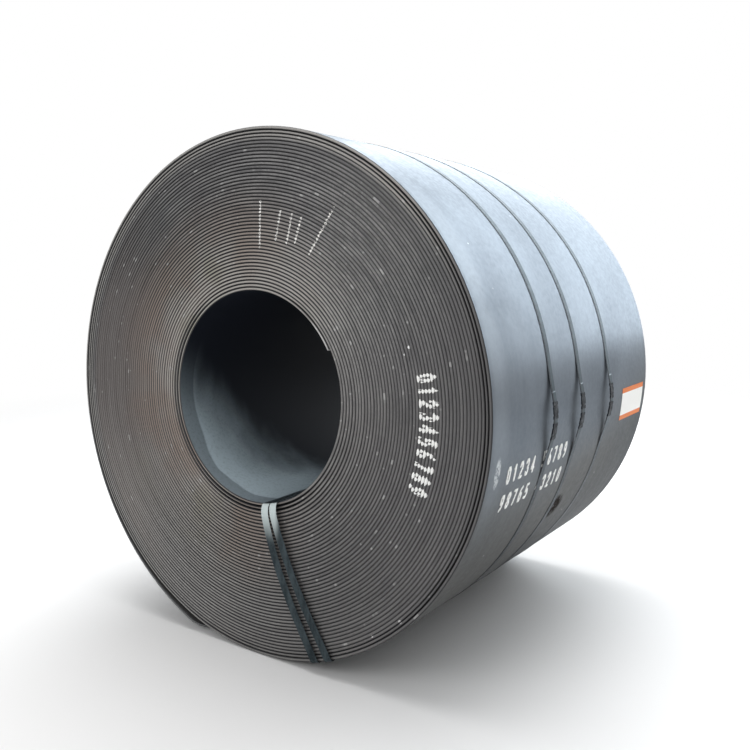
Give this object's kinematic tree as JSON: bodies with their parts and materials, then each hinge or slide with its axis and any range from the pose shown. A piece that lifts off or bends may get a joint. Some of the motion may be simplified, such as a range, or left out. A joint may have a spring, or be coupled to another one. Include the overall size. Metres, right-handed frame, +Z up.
{
  "type": "steel coil",
  "caption": "Hot-rolled steel strip wound into a coil on its side, with its sprung outer end, held by round bands and by eye bands through its bore, with a blank label.",
  "frame": {"origin": "on the coil's axis at the middle of the bore, halfway along the strip's width", "axes": "+Y along the coil's axis, from the front end to the rear end; +Z up as the coil lies on its side; +X to the right seen from the front end"},
  "size_m": [1.9192, 1.537, 1.8939],
  "materials": {
    "mill_scale_steel": "blue-grey mill scale, satin, with bare and lightly rusted strip edges on the ends",
    "band_steel": "dark blued steel strapping, satin",
    "seal_steel": "dark crimped steel seal, satin",
    "label_paper": "matt white label with orange edges, no lettering"
  },
  "bodies": {
    "root": {"coil": "mill_scale_steel", "band_front": "band_steel", "band_middle": "band_steel", "band_rear": "band_steel", "seals_front": "seal_steel", "seals_middle": "seal_steel", "seals_rear": "seal_steel", "eye_band_left": "band_steel", "eye_band_right": "band_steel", "label": "label_paper"}
  },
  "joints": []
}
